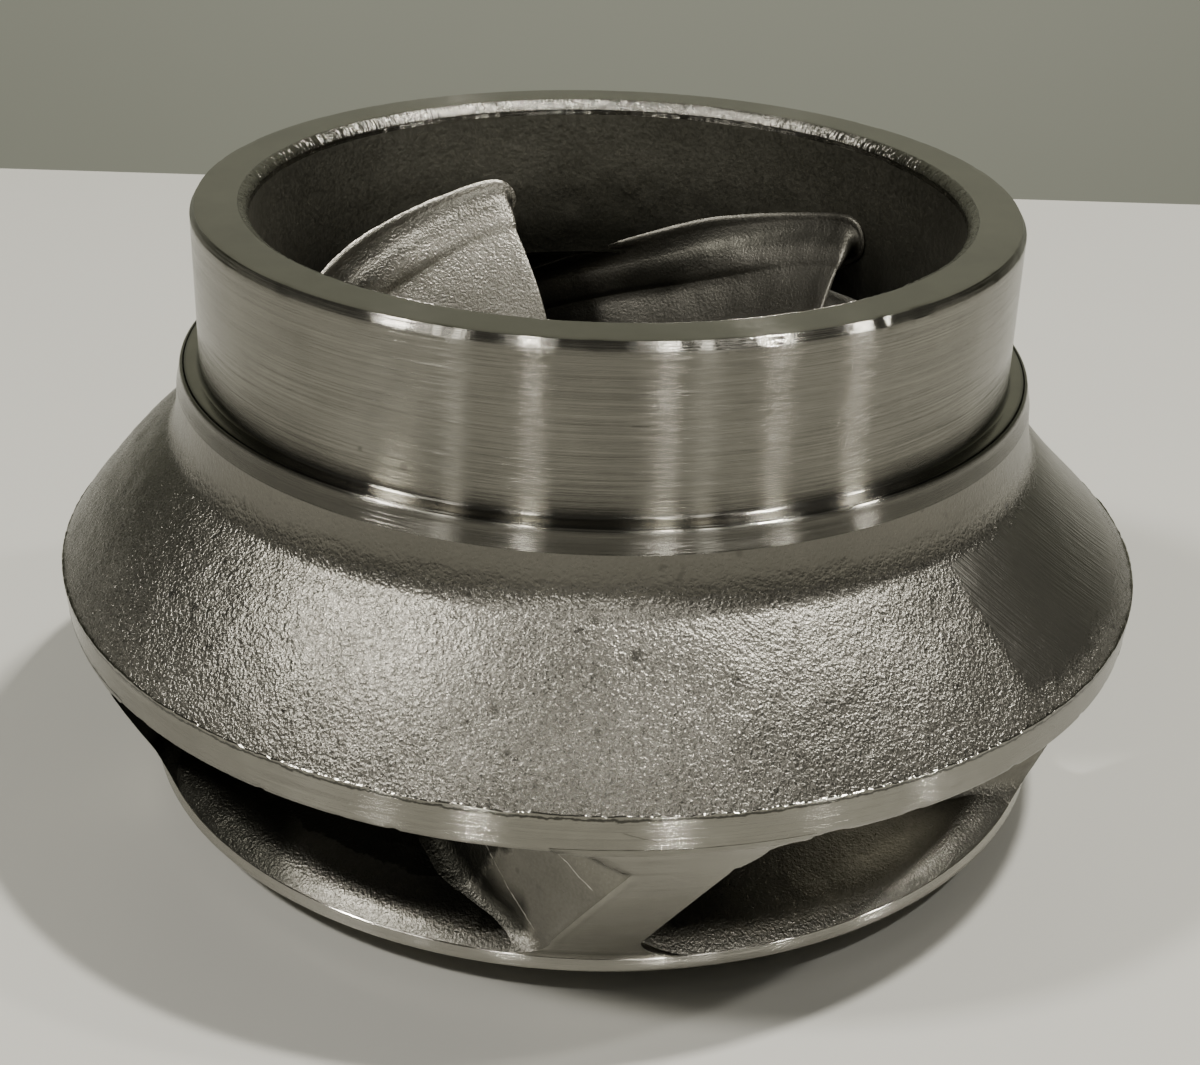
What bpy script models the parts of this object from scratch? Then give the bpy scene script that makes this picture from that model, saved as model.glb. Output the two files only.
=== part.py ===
"""Closed mixed-flow pump impeller, cast in one piece, standing on its back hub with the suction eye up.

The casting is divided where its own sections meet, so that the eye and the five passages stay open.
"""

import math

import bmesh
import bpy

MM = 0.001

# Driving dimensions in millimetres. Heights are above the hub's resting face.
EYE_OUTER_RADIUS = 55.0
EYE_BORE_RADIUS = 47.5
EYE_TOP = 82.0
OUTLET_RADIUS_FRONT = 74.7
OUTLET_HEIGHT_FRONT = 28.6
OUTLET_RADIUS_BACK = 64.2
OUTLET_HEIGHT_BACK = 5.5
SHAFT_BORE_RADIUS = 10.0
VANE_COUNT = 5

# Eye ring and its shoulder.
EYE_CHAMFER_OUT = 0.6
EYE_CHAMFER_DOWN = 1.0
EYE_LIP_RADIUS = 49.9
EYE_LIP_DEPTH = 2.8
SHOULDER_TOP = 60.6
SHOULDER_FOOT = 57.6
SHOULDER_EDGE_RADIUS = 57.4
SHOULDER_FOOT_RADIUS = 58.2
NECK_FILLET = 0.8

# Front shroud: the outer dome and the inner wall of the passages, as Bezier points (radius, height).
DOME_FILLET = [(58.2, 57.6), (58.3, 54.6), (58.8, 51.4), (60.0, 50.3)]
DOME = [(60.0, 50.3), (66.5, 44.7), (75.9, 38.3), (75.2, 33.6)]
DOME_FOOT = 33.6
BAND_TOP_RADIUS = 75.1
INNER_WALL = [(EYE_BORE_RADIUS, 61.0), (EYE_BORE_RADIUS, 51.0), (64.0, 44.2), (70.1, OUTLET_HEIGHT_FRONT)]

# Back shroud: the hub line is the passage floor, from the boss's side to the back rim.
HUB_LINE = [(19.0, 44.0), (23.0, 26.0), (40.0, 14.5), (OUTLET_RADIUS_BACK, OUTLET_HEIGHT_BACK)]
BOSS_TOP = 45.5
BOSS_TOP_RADIUS = 16.5
BOSS_FOOT = 18.0
RIM_FOOT = 3.5
RIM_FOOT_RADIUS = 64.4
RIM_INNER_RADIUS = 56.0
RECESS_RADIUS = 26.0
HUB_BASE_RADIUS = 22.5
HUB_BASE_CHAMFER = 1.0
KEYWAY_WIDTH = 6.0
KEYWAY_DEPTH = 2.8

# Vanes: the leading edge falls from the bore wall to the hub as a power curve of the distance inward.
LEADING_TOP = 66.9
LEADING_FALL = 0.4635
LEADING_POWER = 1.407
LEADING_ANGLE = 40.6
LEADING_SWEEP = 0.574
TRAILING_ANGLE_FRONT = 134.5
TRAILING_ANGLE_BACK = 127.0
WRAP_SLOPE_START = 1.8
WRAP_SLOPE_END = 0.57
WRAP_TURN_START = 0.2
WRAP_TURN_END = 0.5
HALF_THICKNESS_ANGLE = 4.7
NOSE_SHARE = 0.08
NOSE_HALF_ANGLE = 1.6
FIT_GAP = 0.4

TURNED_STEPS = 72
CURVE_STEPS = 9
VANE_STEPS_ALONG = 20
VANE_STEPS_ACROSS = 8


def material(name, colour, roughness):
    """A steel finish."""
    made = bpy.data.materials.new(name)
    made.use_nodes = True
    shader = made.node_tree.nodes["Principled BSDF"]
    shader.inputs["Base Color"].default_value = (*colour, 1.0)
    shader.inputs["Metallic"].default_value = 1.0
    shader.inputs["Roughness"].default_value = roughness
    return made


def add_object(name, mesh_builder, finish):
    """Turns a bmesh in millimetres into a named object in metres."""
    bmesh.ops.recalc_face_normals(mesh_builder, faces=mesh_builder.faces)
    bmesh.ops.scale(mesh_builder, vec=(MM, MM, MM), verts=mesh_builder.verts)
    mesh = bpy.data.meshes.new(name)
    mesh_builder.to_mesh(mesh)
    mesh_builder.free()
    mesh.shade_smooth()
    mesh.set_sharp_from_angle(angle=math.radians(35))
    mesh.materials.append(finish)
    made = bpy.data.objects.new(name, mesh)
    bpy.context.scene.collection.objects.link(made)
    return made


def bezier(points, share):
    """The point at a share from 0 to 1 along a cubic Bezier curve."""
    rest = 1 - share
    weights = (rest**3, 3 * rest**2 * share, 3 * rest * share**2, share**3)
    return tuple(sum(w * p[axis] for w, p in zip(weights, points)) for axis in (0, 1))


def bezier_line(points, steps):
    return [bezier(points, k / steps) for k in range(steps + 1)]


def radius_at(line, height):
    """The radius of a falling line of (radius, height) points at a height."""
    for (r0, z0), (r1, z1) in zip(line, line[1:]):
        if z1 <= height <= z0:
            return r0 + (r1 - r0) * (z0 - height) / (z0 - z1)
    return line[-1][0]


def turned(name, outline, finish):
    """Spins a closed outline of (radius, height) points round the axis."""
    build = bmesh.new()
    rings = []
    for step in range(TURNED_STEPS):
        angle = math.tau * step / TURNED_STEPS
        cos, sin = math.cos(angle), math.sin(angle)
        rings.append([build.verts.new((r * cos, r * sin, z)) for r, z in outline])
    count = len(outline)
    for step, ring in enumerate(rings):
        following = rings[(step + 1) % TURNED_STEPS]
        for k in range(count):
            after = (k + 1) % count
            build.faces.new((ring[k], ring[after], following[after], following[k]))
    return add_object(name, build, finish)


def make_eye_ring(finish):
    outline = [
        (EYE_OUTER_RADIUS - EYE_CHAMFER_OUT, EYE_TOP),
        (EYE_OUTER_RADIUS, EYE_TOP - EYE_CHAMFER_DOWN),
        (EYE_OUTER_RADIUS, SHOULDER_TOP + 2 * NECK_FILLET),
        (EYE_OUTER_RADIUS + 0.3 * NECK_FILLET, SHOULDER_TOP + 0.6 * NECK_FILLET),
        (EYE_OUTER_RADIUS + NECK_FILLET, SHOULDER_TOP),
        (EYE_BORE_RADIUS, SHOULDER_TOP),
        (EYE_BORE_RADIUS, EYE_TOP - EYE_LIP_DEPTH),
        (EYE_BORE_RADIUS + 0.3, EYE_TOP - 0.5 * EYE_LIP_DEPTH),
        (EYE_LIP_RADIUS - 1.2, EYE_TOP - 0.15 * EYE_LIP_DEPTH),
        (EYE_LIP_RADIUS, EYE_TOP),
    ]
    return turned("eye_ring", outline, finish)


def make_shoulder_ring(finish, wall):
    outline = [
        (SHOULDER_EDGE_RADIUS, SHOULDER_TOP),
        (SHOULDER_EDGE_RADIUS + 0.3, SHOULDER_TOP - 0.3),
        (SHOULDER_FOOT_RADIUS, SHOULDER_FOOT),
        (radius_at(wall, SHOULDER_FOOT), SHOULDER_FOOT),
        (EYE_BORE_RADIUS, SHOULDER_TOP),
    ]
    return turned("shoulder_ring", outline, finish)


def make_front_shroud(finish, wall):
    outline = bezier_line(DOME_FILLET, 4) + bezier_line(DOME, CURVE_STEPS)[1:]
    inside = [(radius_at(wall, DOME_FOOT), DOME_FOOT)]
    inside += [p for p in reversed(wall) if DOME_FOOT < p[1] < SHOULDER_FOOT]
    inside += [(radius_at(wall, SHOULDER_FOOT), SHOULDER_FOOT)]
    return turned("front_shroud", outline + inside, finish)


def make_outlet_band(finish, wall):
    outline = [
        (BAND_TOP_RADIUS, DOME_FOOT),
        (OUTLET_RADIUS_FRONT, OUTLET_HEIGHT_FRONT),
        (wall[-1][0], OUTLET_HEIGHT_FRONT),
    ]
    outline += [p for p in reversed(wall[:-1]) if OUTLET_HEIGHT_FRONT < p[1] < DOME_FOOT]
    outline += [(radius_at(wall, DOME_FOOT), DOME_FOOT)]
    return turned("outlet_band", outline, finish)


def make_back_shroud(finish, hub_line):
    outline = [(radius_at(hub_line, BOSS_FOOT), BOSS_FOOT)]
    outline += [p for p in hub_line if p[1] < BOSS_FOOT]
    outline += [
        (RIM_INNER_RADIUS, OUTLET_HEIGHT_BACK),
        (RECESS_RADIUS, BOSS_FOOT),
    ]
    return turned("back_shroud", outline, finish)


def make_back_rim(finish):
    outline = [
        (OUTLET_RADIUS_BACK, OUTLET_HEIGHT_BACK),
        (RIM_FOOT_RADIUS, RIM_FOOT),
        (RIM_INNER_RADIUS, RIM_FOOT),
        (RIM_INNER_RADIUS, OUTLET_HEIGHT_BACK),
    ]
    return turned("back_rim", outline, finish)


def make_hub_boss(finish, hub_line):
    outline = [(SHAFT_BORE_RADIUS, BOSS_TOP), (BOSS_TOP_RADIUS, BOSS_TOP)]
    outline += [p for p in hub_line if p[1] > BOSS_FOOT]
    outline += [(radius_at(hub_line, BOSS_FOOT), BOSS_FOOT), (SHAFT_BORE_RADIUS, BOSS_FOOT)]
    return turned("hub_boss", outline, finish)


def make_hub_base(finish):
    outline = [
        (HUB_BASE_RADIUS, BOSS_FOOT),
        (HUB_BASE_RADIUS, HUB_BASE_CHAMFER),
        (HUB_BASE_RADIUS - HUB_BASE_CHAMFER, 0.0),
        (SHAFT_BORE_RADIUS, 0.0),
        (SHAFT_BORE_RADIUS, BOSS_FOOT),
    ]
    return turned("hub_base", outline, finish)


def make_keyway_cutter():
    """A square bar along the bore's +X side, longer than the hub."""
    reach = SHAFT_BORE_RADIUS + KEYWAY_DEPTH
    build = bmesh.new()
    bmesh.ops.create_cube(build, size=1.0)
    bmesh.ops.scale(build, vec=(reach, KEYWAY_WIDTH, BOSS_TOP + 10), verts=build.verts)
    bmesh.ops.translate(build, vec=(reach / 2, 0.0, BOSS_TOP / 2), verts=build.verts)
    bmesh.ops.scale(build, vec=(MM, MM, MM), verts=build.verts)
    bmesh.ops.recalc_face_normals(build, faces=build.faces)
    mesh = bpy.data.meshes.new("keyway_cutter")
    build.to_mesh(mesh)
    build.free()
    cutter = bpy.data.objects.new("keyway_cutter", mesh)
    cutter.hide_render = True
    cutter.display_type = "WIRE"
    bpy.context.scene.collection.objects.link(cutter)
    return cutter


def cut_keyway(piece, cutter):
    keyway = piece.modifiers.new("keyway", "BOOLEAN")
    keyway.operation = "DIFFERENCE"
    keyway.solver = "EXACT"
    keyway.object = cutter


def wrap_shares(steps):
    """How much of the vane's turn is done at each equal step along it: fast at the inlet, then slower."""
    fine = 400
    total = 0.0
    sums = [0.0]
    for k in range(fine):
        along = (k + 0.5) / fine
        turn = min(max((along - WRAP_TURN_START) / (WRAP_TURN_END - WRAP_TURN_START), 0.0), 1.0)
        ease = turn * turn * (3 - 2 * turn)
        total += WRAP_SLOPE_START + (WRAP_SLOPE_END - WRAP_SLOPE_START) * ease
        sums.append(total)
    return [sums[round(k * fine / steps)] / total for k in range(steps + 1)]


def evenly_spaced(line, steps):
    """Points at equal distances along a polyline."""
    lengths = [0.0]
    for a, b in zip(line, line[1:]):
        lengths.append(lengths[-1] + math.dist(a, b))
    spaced = []
    k = 0
    for step in range(steps + 1):
        goal = lengths[-1] * step / steps
        while k < len(line) - 2 and lengths[k + 1] < goal:
            k += 1
        share = (goal - lengths[k]) / (lengths[k + 1] - lengths[k])
        spaced.append(tuple(line[k][i] + (line[k + 1][i] - line[k][i]) * share for i in (0, 1)))
    return spaced


def inward(line, distance):
    """The line of (radius, height) points moved sideways, to the right of its direction."""
    moved = []
    for k, point in enumerate(line):
        before = line[max(k - 1, 0)]
        after = line[min(k + 1, len(line) - 1)]
        dr, dz = after[0] - before[0], after[1] - before[1]
        size = math.hypot(dr, dz)
        moved.append((point[0] + distance * dz / size, point[1] - distance * dr / size))
    return moved


def leading_height(radius):
    """The height of the leading edge at a radius."""
    from_wall = max(EYE_BORE_RADIUS - radius, 0.0)
    return LEADING_TOP - LEADING_FALL * from_wall**LEADING_POWER


def vane_sheet():
    """The vane's middle surface: for each step along and across, (radius, height, angle in degrees)."""
    start = (EYE_BORE_RADIUS, LEADING_TOP)
    wall = inward([start] + bezier_line(INNER_WALL, 40), FIT_GAP)
    wall.append((OUTLET_RADIUS_FRONT, OUTLET_HEIGHT_FRONT - FIT_GAP))
    floor = inward(bezier_line(HUB_LINE, 60), -FIT_GAP)
    floor = [p for p in floor if p[1] < leading_height(p[0])]
    edge_radius = [floor[0][0] + (wall[0][0] - floor[0][0]) * k / 60 for k in range(61)]
    edge = evenly_spaced([(r, leading_height(r)) for r in edge_radius], VANE_STEPS_ACROSS)
    top = evenly_spaced(wall, VANE_STEPS_ALONG)
    bottom = evenly_spaced(floor, VANE_STEPS_ALONG)
    shares = wrap_shares(VANE_STEPS_ALONG)
    sheet = []
    for i, share in enumerate(shares):
        m = i / VANE_STEPS_ALONG
        row = []
        for j in range(VANE_STEPS_ACROSS + 1):
            s = j / VANE_STEPS_ACROSS
            end = [bottom[-1][k] + (top[-1][k] - bottom[-1][k]) * s for k in (0, 1)]
            point = []
            for k in (0, 1):
                along = (1 - m) * edge[j][k] + m * end[k]
                across = (1 - s) * bottom[i][k] + s * top[i][k]
                first = (1 - s) * edge[0][k] + s * edge[-1][k]
                last = (1 - s) * bottom[-1][k] + s * top[-1][k]
                point.append(along + across - (1 - m) * first - m * last)
            begin = LEADING_ANGLE - LEADING_SWEEP * (EYE_BORE_RADIUS - edge[j][0])
            finish = TRAILING_ANGLE_BACK + (TRAILING_ANGLE_FRONT - TRAILING_ANGLE_BACK) * s
            row.append((*point, begin + (finish - begin) * share))
        sheet.append(row)
    return sheet


def half_angle(along):
    """Half the vane's thickness as an angle round the axis, thin at the nose."""
    share = min(along / NOSE_SHARE, 1.0)
    return NOSE_HALF_ANGLE + (HALF_THICKNESS_ANGLE - NOSE_HALF_ANGLE) * math.sqrt(1 - (1 - share) ** 2)


def make_vane(number, sheet, finish):
    turn = 360.0 * (number - 1) / VANE_COUNT
    build = bmesh.new()
    sides = []
    for side in (-1, 1):
        grid = []
        for i, row in enumerate(sheet):
            half = side * half_angle(i / VANE_STEPS_ALONG)
            line = []
            for radius, height, angle in row:
                place = math.radians(angle + half + turn)
                line.append(build.verts.new((radius * math.cos(place), radius * math.sin(place), height)))
            grid.append(line)
        sides.append(grid)
        for i in range(VANE_STEPS_ALONG):
            for j in range(VANE_STEPS_ACROSS):
                build.faces.new((grid[i][j], grid[i + 1][j], grid[i + 1][j + 1], grid[i][j + 1]))
    low, high = sides
    for i in range(VANE_STEPS_ALONG):
        for j in (0, VANE_STEPS_ACROSS):
            build.faces.new((low[i][j], low[i + 1][j], high[i + 1][j], high[i][j]))
    for j in range(VANE_STEPS_ACROSS):
        for i in (0, VANE_STEPS_ALONG):
            build.faces.new((low[i][j], low[i][j + 1], high[i][j + 1], high[i][j]))
    return add_object(f"vane_{number}", build, finish)


def main():
    for old in list(bpy.data.objects):
        bpy.data.objects.remove(old)
    turned_steel = material("turned_steel", (0.42, 0.41, 0.38), 0.3)
    cast_steel = material("cast_steel", (0.33, 0.32, 0.29), 0.55)
    wall = bezier_line(INNER_WALL, CURVE_STEPS)
    hub_line = bezier_line(HUB_LINE, CURVE_STEPS + 1)
    make_eye_ring(turned_steel)
    make_shoulder_ring(turned_steel, wall)
    make_front_shroud(cast_steel, wall)
    make_outlet_band(turned_steel, wall)
    cutter = make_keyway_cutter()
    make_back_shroud(cast_steel, hub_line)
    cut_keyway(make_hub_boss(cast_steel, hub_line), cutter)
    cut_keyway(make_hub_base(turned_steel), cutter)
    make_back_rim(turned_steel)
    sheet = vane_sheet()
    for number in range(1, VANE_COUNT + 1):
        make_vane(number, sheet, cast_steel)


main()
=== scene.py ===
"""Looks for the closed mixed-flow pump impeller: turned neck, sand-cast shrouds, swept vanes and machined rims."""

import math

import bpy
import numpy as np
from mathutils import Matrix


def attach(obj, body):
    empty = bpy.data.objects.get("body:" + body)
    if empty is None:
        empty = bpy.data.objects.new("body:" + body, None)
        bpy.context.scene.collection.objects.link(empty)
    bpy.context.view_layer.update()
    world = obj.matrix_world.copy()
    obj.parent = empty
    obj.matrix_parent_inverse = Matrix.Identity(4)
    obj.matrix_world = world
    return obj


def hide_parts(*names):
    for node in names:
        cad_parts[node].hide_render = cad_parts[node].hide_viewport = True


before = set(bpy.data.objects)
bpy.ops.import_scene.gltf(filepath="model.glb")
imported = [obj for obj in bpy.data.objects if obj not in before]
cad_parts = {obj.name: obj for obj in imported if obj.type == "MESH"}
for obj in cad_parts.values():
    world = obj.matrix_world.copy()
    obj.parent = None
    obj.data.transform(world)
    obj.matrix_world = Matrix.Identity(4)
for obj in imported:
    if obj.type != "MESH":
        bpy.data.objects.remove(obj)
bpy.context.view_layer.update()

MM = 0.001

# Driving values in millimetres, the same as the CAD's except for the dome's curve, which follows the photograph more
# closely. Heights are above the hub's resting face. Curves are given by four points of radius and height.
EYE_RADIUS = 55.0
BORE_RADIUS = 47.5
EYE_TOP = 82.0
SHOULDER_TOP = 60.6
SHOULDER_FOOT = 57.6
SHOULDER_RADIUS = 58.2
DOME_FOOT = 33.6
BAND_TOP_RADIUS = 75.1
FRONT_EDGE = (74.7, 28.6)
BACK_EDGE = (64.2, 5.5)
DOME_FILLET = [(SHOULDER_RADIUS, SHOULDER_FOOT), (58.3, 54.6), (58.8, 51.4), (60.0, 50.3)]
DOME = [(60.0, 50.3), (65.5, 45.7), (71.0, 39.6), (BAND_TOP_RADIUS, DOME_FOOT)]
INNER_WALL = [(BORE_RADIUS, 61.0), (BORE_RADIUS, 51.0), (64.0, 44.2), (70.1, FRONT_EDGE[1])]
HUB_LINE = [(19.0, 44.0), (23.0, 26.0), (40.0, 14.5), BACK_EDGE]
BOSS_TOP = 45.5
BOSS_TOP_RADIUS = 16.5
BOSS_FOOT = 18.0
RECESS_RADIUS = 26.0
RIM_FOOT = 3.5
RIM_INNER_RADIUS = 56.0
HUB_BASE_RADIUS = 22.5
SHAFT_RADIUS = 10.0
KEYWAY_WIDTH = 6.0
KEYWAY_DEPTH = 2.8

# The vanes: their leading edge in the eye, their angles in degrees, and how fast they turn along their length.
VANE_COUNT = 5
LEADING_TOP = 66.9
LEADING_FALL = 0.4635
LEADING_POWER = 1.407
LEADING_ANGLE = 40.6
LEADING_SWEEP = 0.574
TRAILING_ANGLE_FRONT = 134.5
TRAILING_ANGLE_BACK = 127.0
HALF_THICKNESS_ANGLE = 4.7
NOSE_SHARE = 0.08
WRAP_SLOPE_START = 1.8
WRAP_SLOPE_END = 0.57
WRAP_TURN_START = 0.2
WRAP_TURN_END = 0.5

# The heights between which the turned zone under the shoulder ends.
TURNED_ZONE_END = (51.5, 52.5)

# What the scene adds to the CAD's shape, in millimetres: the vanes' fillets at the wall and the floor, the dome's
# swelling on the right, the floor's rounding, the burr and the nicks.
ROOT_RADIUS = 4.6
FLOOR_ROOT_RADIUS = 4.0
DOME_SWELL = 1.3
DOME_LIMIT = 75.18
FLOOR_ROLL = 6.075
BURR_HEIGHT = 0.38
BURR_FOOT_HEIGHT = 0.35
EDGE_NICK = 0.35
# Each vane is drawn past its end, to this share of its length, and then cut at the discharge cone.
VANE_REACH = 1.12

# How finely things are drawn: steps round the axis, rows of an outline and columns of a vane.
NECK_STEPS = 720
DOME_STEPS = 1000
BAND_STEPS = 1400
FLOOR_STEPS = 900
RIM_STEPS = 600
BORE_STEPS = 360
DOME_ROWS = 66
WALL_ROWS = 30
UNDER_ROWS = 20
VANE_SIDE_COLUMNS = 110
VANE_END_COLUMNS = 10
VANE_ROWS = 26
LINE_POINTS = 200

# How much of each kind of relief, dirt, painted shade and painted sheen the metals show.
CORNER_SHADE_SHARE = 0.5
WALL_SHADE_SHARE = 0.55
GROOVE_SHADE_SHARE = 0.6
MARK_DIRT_SHARE = 0.55
RING_SHADE_AND_DIRT_SHARE = 0.82
RIM_SHEEN_SHARE = 0.55
OUTLET_SHEEN_SHARE = 0.16
LIP_ROUGHENING = 0.12
FILE_MARKS = 1.6
SPOT_SHARE = 0.6

# Marks are placed near these radii of the band and the shoulder's wall, and are this wide to each side.
BAND_RADIUS = 75.0
WALL_RADIUS = 58.0
SCRATCH_HALF_WIDTH = 0.03
CUT_HALF_WIDTH = 0.05

# Base colours. Each metal runs in patches from the first to the second.
RING_COLOURS = (0.19, 0.184, 0.160), (0.27, 0.262, 0.229)
DOME_COLOURS = (0.15, 0.144, 0.124), (0.22, 0.211, 0.183)
PASSAGE_COLOURS = (0.26, 0.25, 0.215), (0.40, 0.385, 0.332)
# The passage skin painted darker: painted shade for the first vane and the boss in the eye.
SHADED_COLOURS = (0.068, 0.065, 0.055), (0.105, 0.101, 0.087)
BORE_COLOURS = (0.085, 0.083, 0.066), (0.13, 0.127, 0.104)
BARE_COLOURS = (0.23, 0.221, 0.194), (0.135, 0.13, 0.114)
ROOM_COLOURS = (0.05, 0.05, 0.045), (0.15, 0.146, 0.132)
# Painted sheen for the back rim and the outlet faces.
PAINTED_SHEEN_COLOUR = (0.72, 0.70, 0.63)
# Painted shade for the turned corner, groove, shoulder's wall and burr line, and dirt for the marks.
SHADE_AND_DIRT_COLOUR = (0.02, 0.02, 0.017)
# Real stains on the dome, and painted shade in the passages and the bore.
STAIN_AND_SHADE_COLOUR = (0.02, 0.02, 0.016)
FRESH_CHIP = (0.9, 0.88, 0.82)
FRESH_SCRATCH = (0.85, 0.83, 0.76)
TABLE_COLOUR = (0.51, 0.506, 0.464)
WALL_COLOUR = (0.47, 0.49, 0.405)
LAMP_COLOUR = (1.0, 0.97, 0.92)

# Wear marks that show plainly. Spots: radius, azimuth and height of the middle, then their size and raggedness.
RING_CHIP = ((54.5, 44.5, EYE_TOP), 2.3, 0.8)
RING_PITS = [((EYE_RADIUS, -114.3, 64.1), 0.55, 0.4), ((EYE_RADIUS, -120.5, 65.0), 0.3, 0.3)]
RING_LINE = ((EYE_RADIUS, -85.6, 72.1), 1.1, 0.5)
DOME_SPOTS = [((60.1, -90.1, 50.2), 0.55, 0.5), ((70.0, -131.2, 40.9), 0.8, 0.5)]
# In the passages the middle is given by x, y and height.
PASSAGE_SPOTS = [((-53.5, -48.2, 22.2), 0.9, 0.9), ((53.8, -50.9, 26.7), 0.7, 0.9)]
# Scratches: x and z of both ends.
BAND_CUT = ((4.0, 31.6), (7.4, 30.3))
FACET_SCRATCHES = [((-5.4, 23.7), (0.2, 20.0)), ((-13.0, 18.0), (-6.7, 9.5))]

# The photograph's camera, solved from the turned circles.
CAMERA_PLACE = (0.0, -0.25674, 0.16034)
CAMERA_YAW = 0.04
CAMERA_PITCH = 26.69
CAMERA_ROLL = 1.75
CAMERA_LENS = 59.55

# The stage, in metres.
TABLE_REACH = 3
TABLE_BACK_EDGE = 0.274
BACKDROP_REACH = 4
BACKDROP_PLACE = 1.5
BACKDROP_HEIGHTS = (-1.6, 3)

# Lights stand this far off, in metres, and shine at a point this high on the axis.
LIGHT_DISTANCE = 1.5
LIGHT_AIM = 0.05
# Ceiling lights: azimuth from the camera side, elevation, size in metres and power. The shadows place them.
CEILING_LIGHTS = [
    (-72, 49, 0.18, 17.5),
    (100, 67, 0.08, 27.0),
    (94, 48, 0.08, 6.0),
]
# Weak lights on one group of the metal pieces alone, so that the table keeps its shadows.
FILL_LIGHTS = [
    ("casting", -50, 36, 0.14, 1.2),
    ("casting", -24, 36, 0.14, 0.5),
    ("casting", 14, 38, 0.16, 1.3),
    ("casting", 40, 38, 0.14, 0.5),
    ("casting", -55, 75, 0.09, 0.4),
    ("casting", 50, 75, 0.09, 0.8),
    ("dome", 0, 26, 0.2, 5.0),
    ("dome", 76, 36, 0.3, 1.0),
    ("passages", 34, 9, 0.25, 13.0),
    ("passages", -58, 10, 0.3, 8.0),
]
# Narrow lights that a turned ring draws out into streaks: where on the ring in degrees, width and power.
RING_STREAKS = [
    (-16.9, 0.08, 2.6),
    (-7.8, 0.015, 6.5),
    (7.25, 0.015, 6.5),
    (11.6, 0.08, 2.6),
    (20.2, 0.015, 5.0),
    (31.0, 0.018, 6.0),
]
BAND_STREAKS = [
    (-17.3, 0.04, 12.0),
    (-9.1, 0.008, 42.0),
    (6.7, 0.008, 42.0),
    (19.5, 0.04, 12.0),
    (29.6, 0.008, 24.0),
]
# Each set of streaks: name, group, radius and middle height of the ring, tilts of its tool lines, lights.
STREAKS = [
    ("streak", "turned", EYE_RADIUS, (EYE_TOP + SHOULDER_TOP) / 2, (18.0, 46.0), RING_STREAKS),
    ("band_streak", "band", BAND_TOP_RADIUS, (DOME_FOOT + FRONT_EDGE[1]) / 2, (14.0, 46.0), BAND_STREAKS),
]


def ramp(value, start, end):
    """0 up to start, then rising evenly to 1 at end, which may lie on either side of start."""
    return np.clip((value - start) / (end - start), 0, 1)


def lattice(cells, seed):
    """A fixed pseudo-random value from -1 to 1 for each whole-number cell."""
    mixed = cells[:, 0] * 374761393 + cells[:, 1] * 668265263 + cells[:, 2] * 1440662683 + seed * 974711
    mixed = (mixed ^ (mixed >> 13)) * 1274126177
    mixed = mixed ^ (mixed >> 16)
    return (mixed & 0xFFFFF) / 0x7FFFF - 1.0


def noise(points, size, seed):
    """Smooth noise from -1 to 1, with lumps about as wide as size."""
    place = points / size
    cell = np.floor(place).astype(np.int64)
    part = place - cell
    ease = part * part * (3 - 2 * part)
    total = np.zeros(len(points))
    for corner in np.ndindex(2, 2, 2):
        corner = np.array(corner)
        weight = np.prod(np.where(corner == 1, ease, 1 - ease), axis=1)
        total += weight * lattice(cell + corner, seed)
    return total


def lumps(points, *layers):
    """The sum of layers of noise, each with its height, size and seed."""
    return sum(height * noise(points, size, seed) for height, size, seed in layers)


def round_the_axis(points, radius):
    """The points' azimuths as places on one straight line, for noise that only changes round the axis."""
    angle = np.arctan2(points[:, 1], points[:, 0])
    return np.column_stack([angle * radius, 0 * angle, 0 * angle])


def bezier(points, steps):
    share = np.linspace(0, 1, steps + 1)[:, None]
    rest = 1 - share
    a, b, c, d = (np.array(p, float) for p in points)
    return rest**3 * a + 3 * rest**2 * share * b + 3 * rest * share**2 * c + share**3 * d


def lengths(line):
    """The length of the line up to each of its points."""
    steps = np.hypot(*np.diff(line, axis=0).T)
    return np.concatenate([[0.0], np.cumsum(steps)])


def respaced(line, count):
    """Points at equal distances along a line."""
    line = np.array(line)
    along = lengths(line)
    goals = np.linspace(0, along[-1], count)
    return np.column_stack([np.interp(goals, along, line[:, k]) for k in range(line.shape[1])])


def grid_faces(rows, columns, closed=True):
    """Four-sided faces over a grid of points stored row by row. Each row is a ring, and closed rows meet again."""
    i = np.arange(rows if closed else rows - 1)
    i, j = (a.ravel() for a in np.meshgrid(i, np.arange(columns), indexing="ij"))
    below, right = (i + 1) % rows, (j + 1) % columns
    return np.column_stack([i * columns + j, i * columns + right, below * columns + right, below * columns + j])


def make_piece(name, points, faces, finish, nodes, group, sharp=35.0, second=None, seconds=None):
    """A mesh in metres that rides on the casting and stands for its CAD nodes.

    Some lights shine on the group alone. seconds marks the faces that have the second finish.
    """
    mesh = bpy.data.meshes.new(name)
    mesh.from_pydata((points * MM).tolist(), [], faces.tolist() if isinstance(faces, np.ndarray) else faces)
    mesh.materials.append(finish)
    if second is not None:
        mesh.materials.append(second)
        mesh.polygons.foreach_set("material_index", seconds.astype(np.int32))
    mesh.shade_smooth()
    mesh.set_sharp_from_angle(angle=math.radians(sharp))
    piece = bpy.data.objects.new(name, mesh)
    bpy.context.scene.collection.objects.link(piece)
    bpy.data.collections["casting"].objects.link(piece)
    bpy.data.collections[group].objects.link(piece)
    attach(piece, "root")
    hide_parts(*nodes)
    return piece


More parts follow.
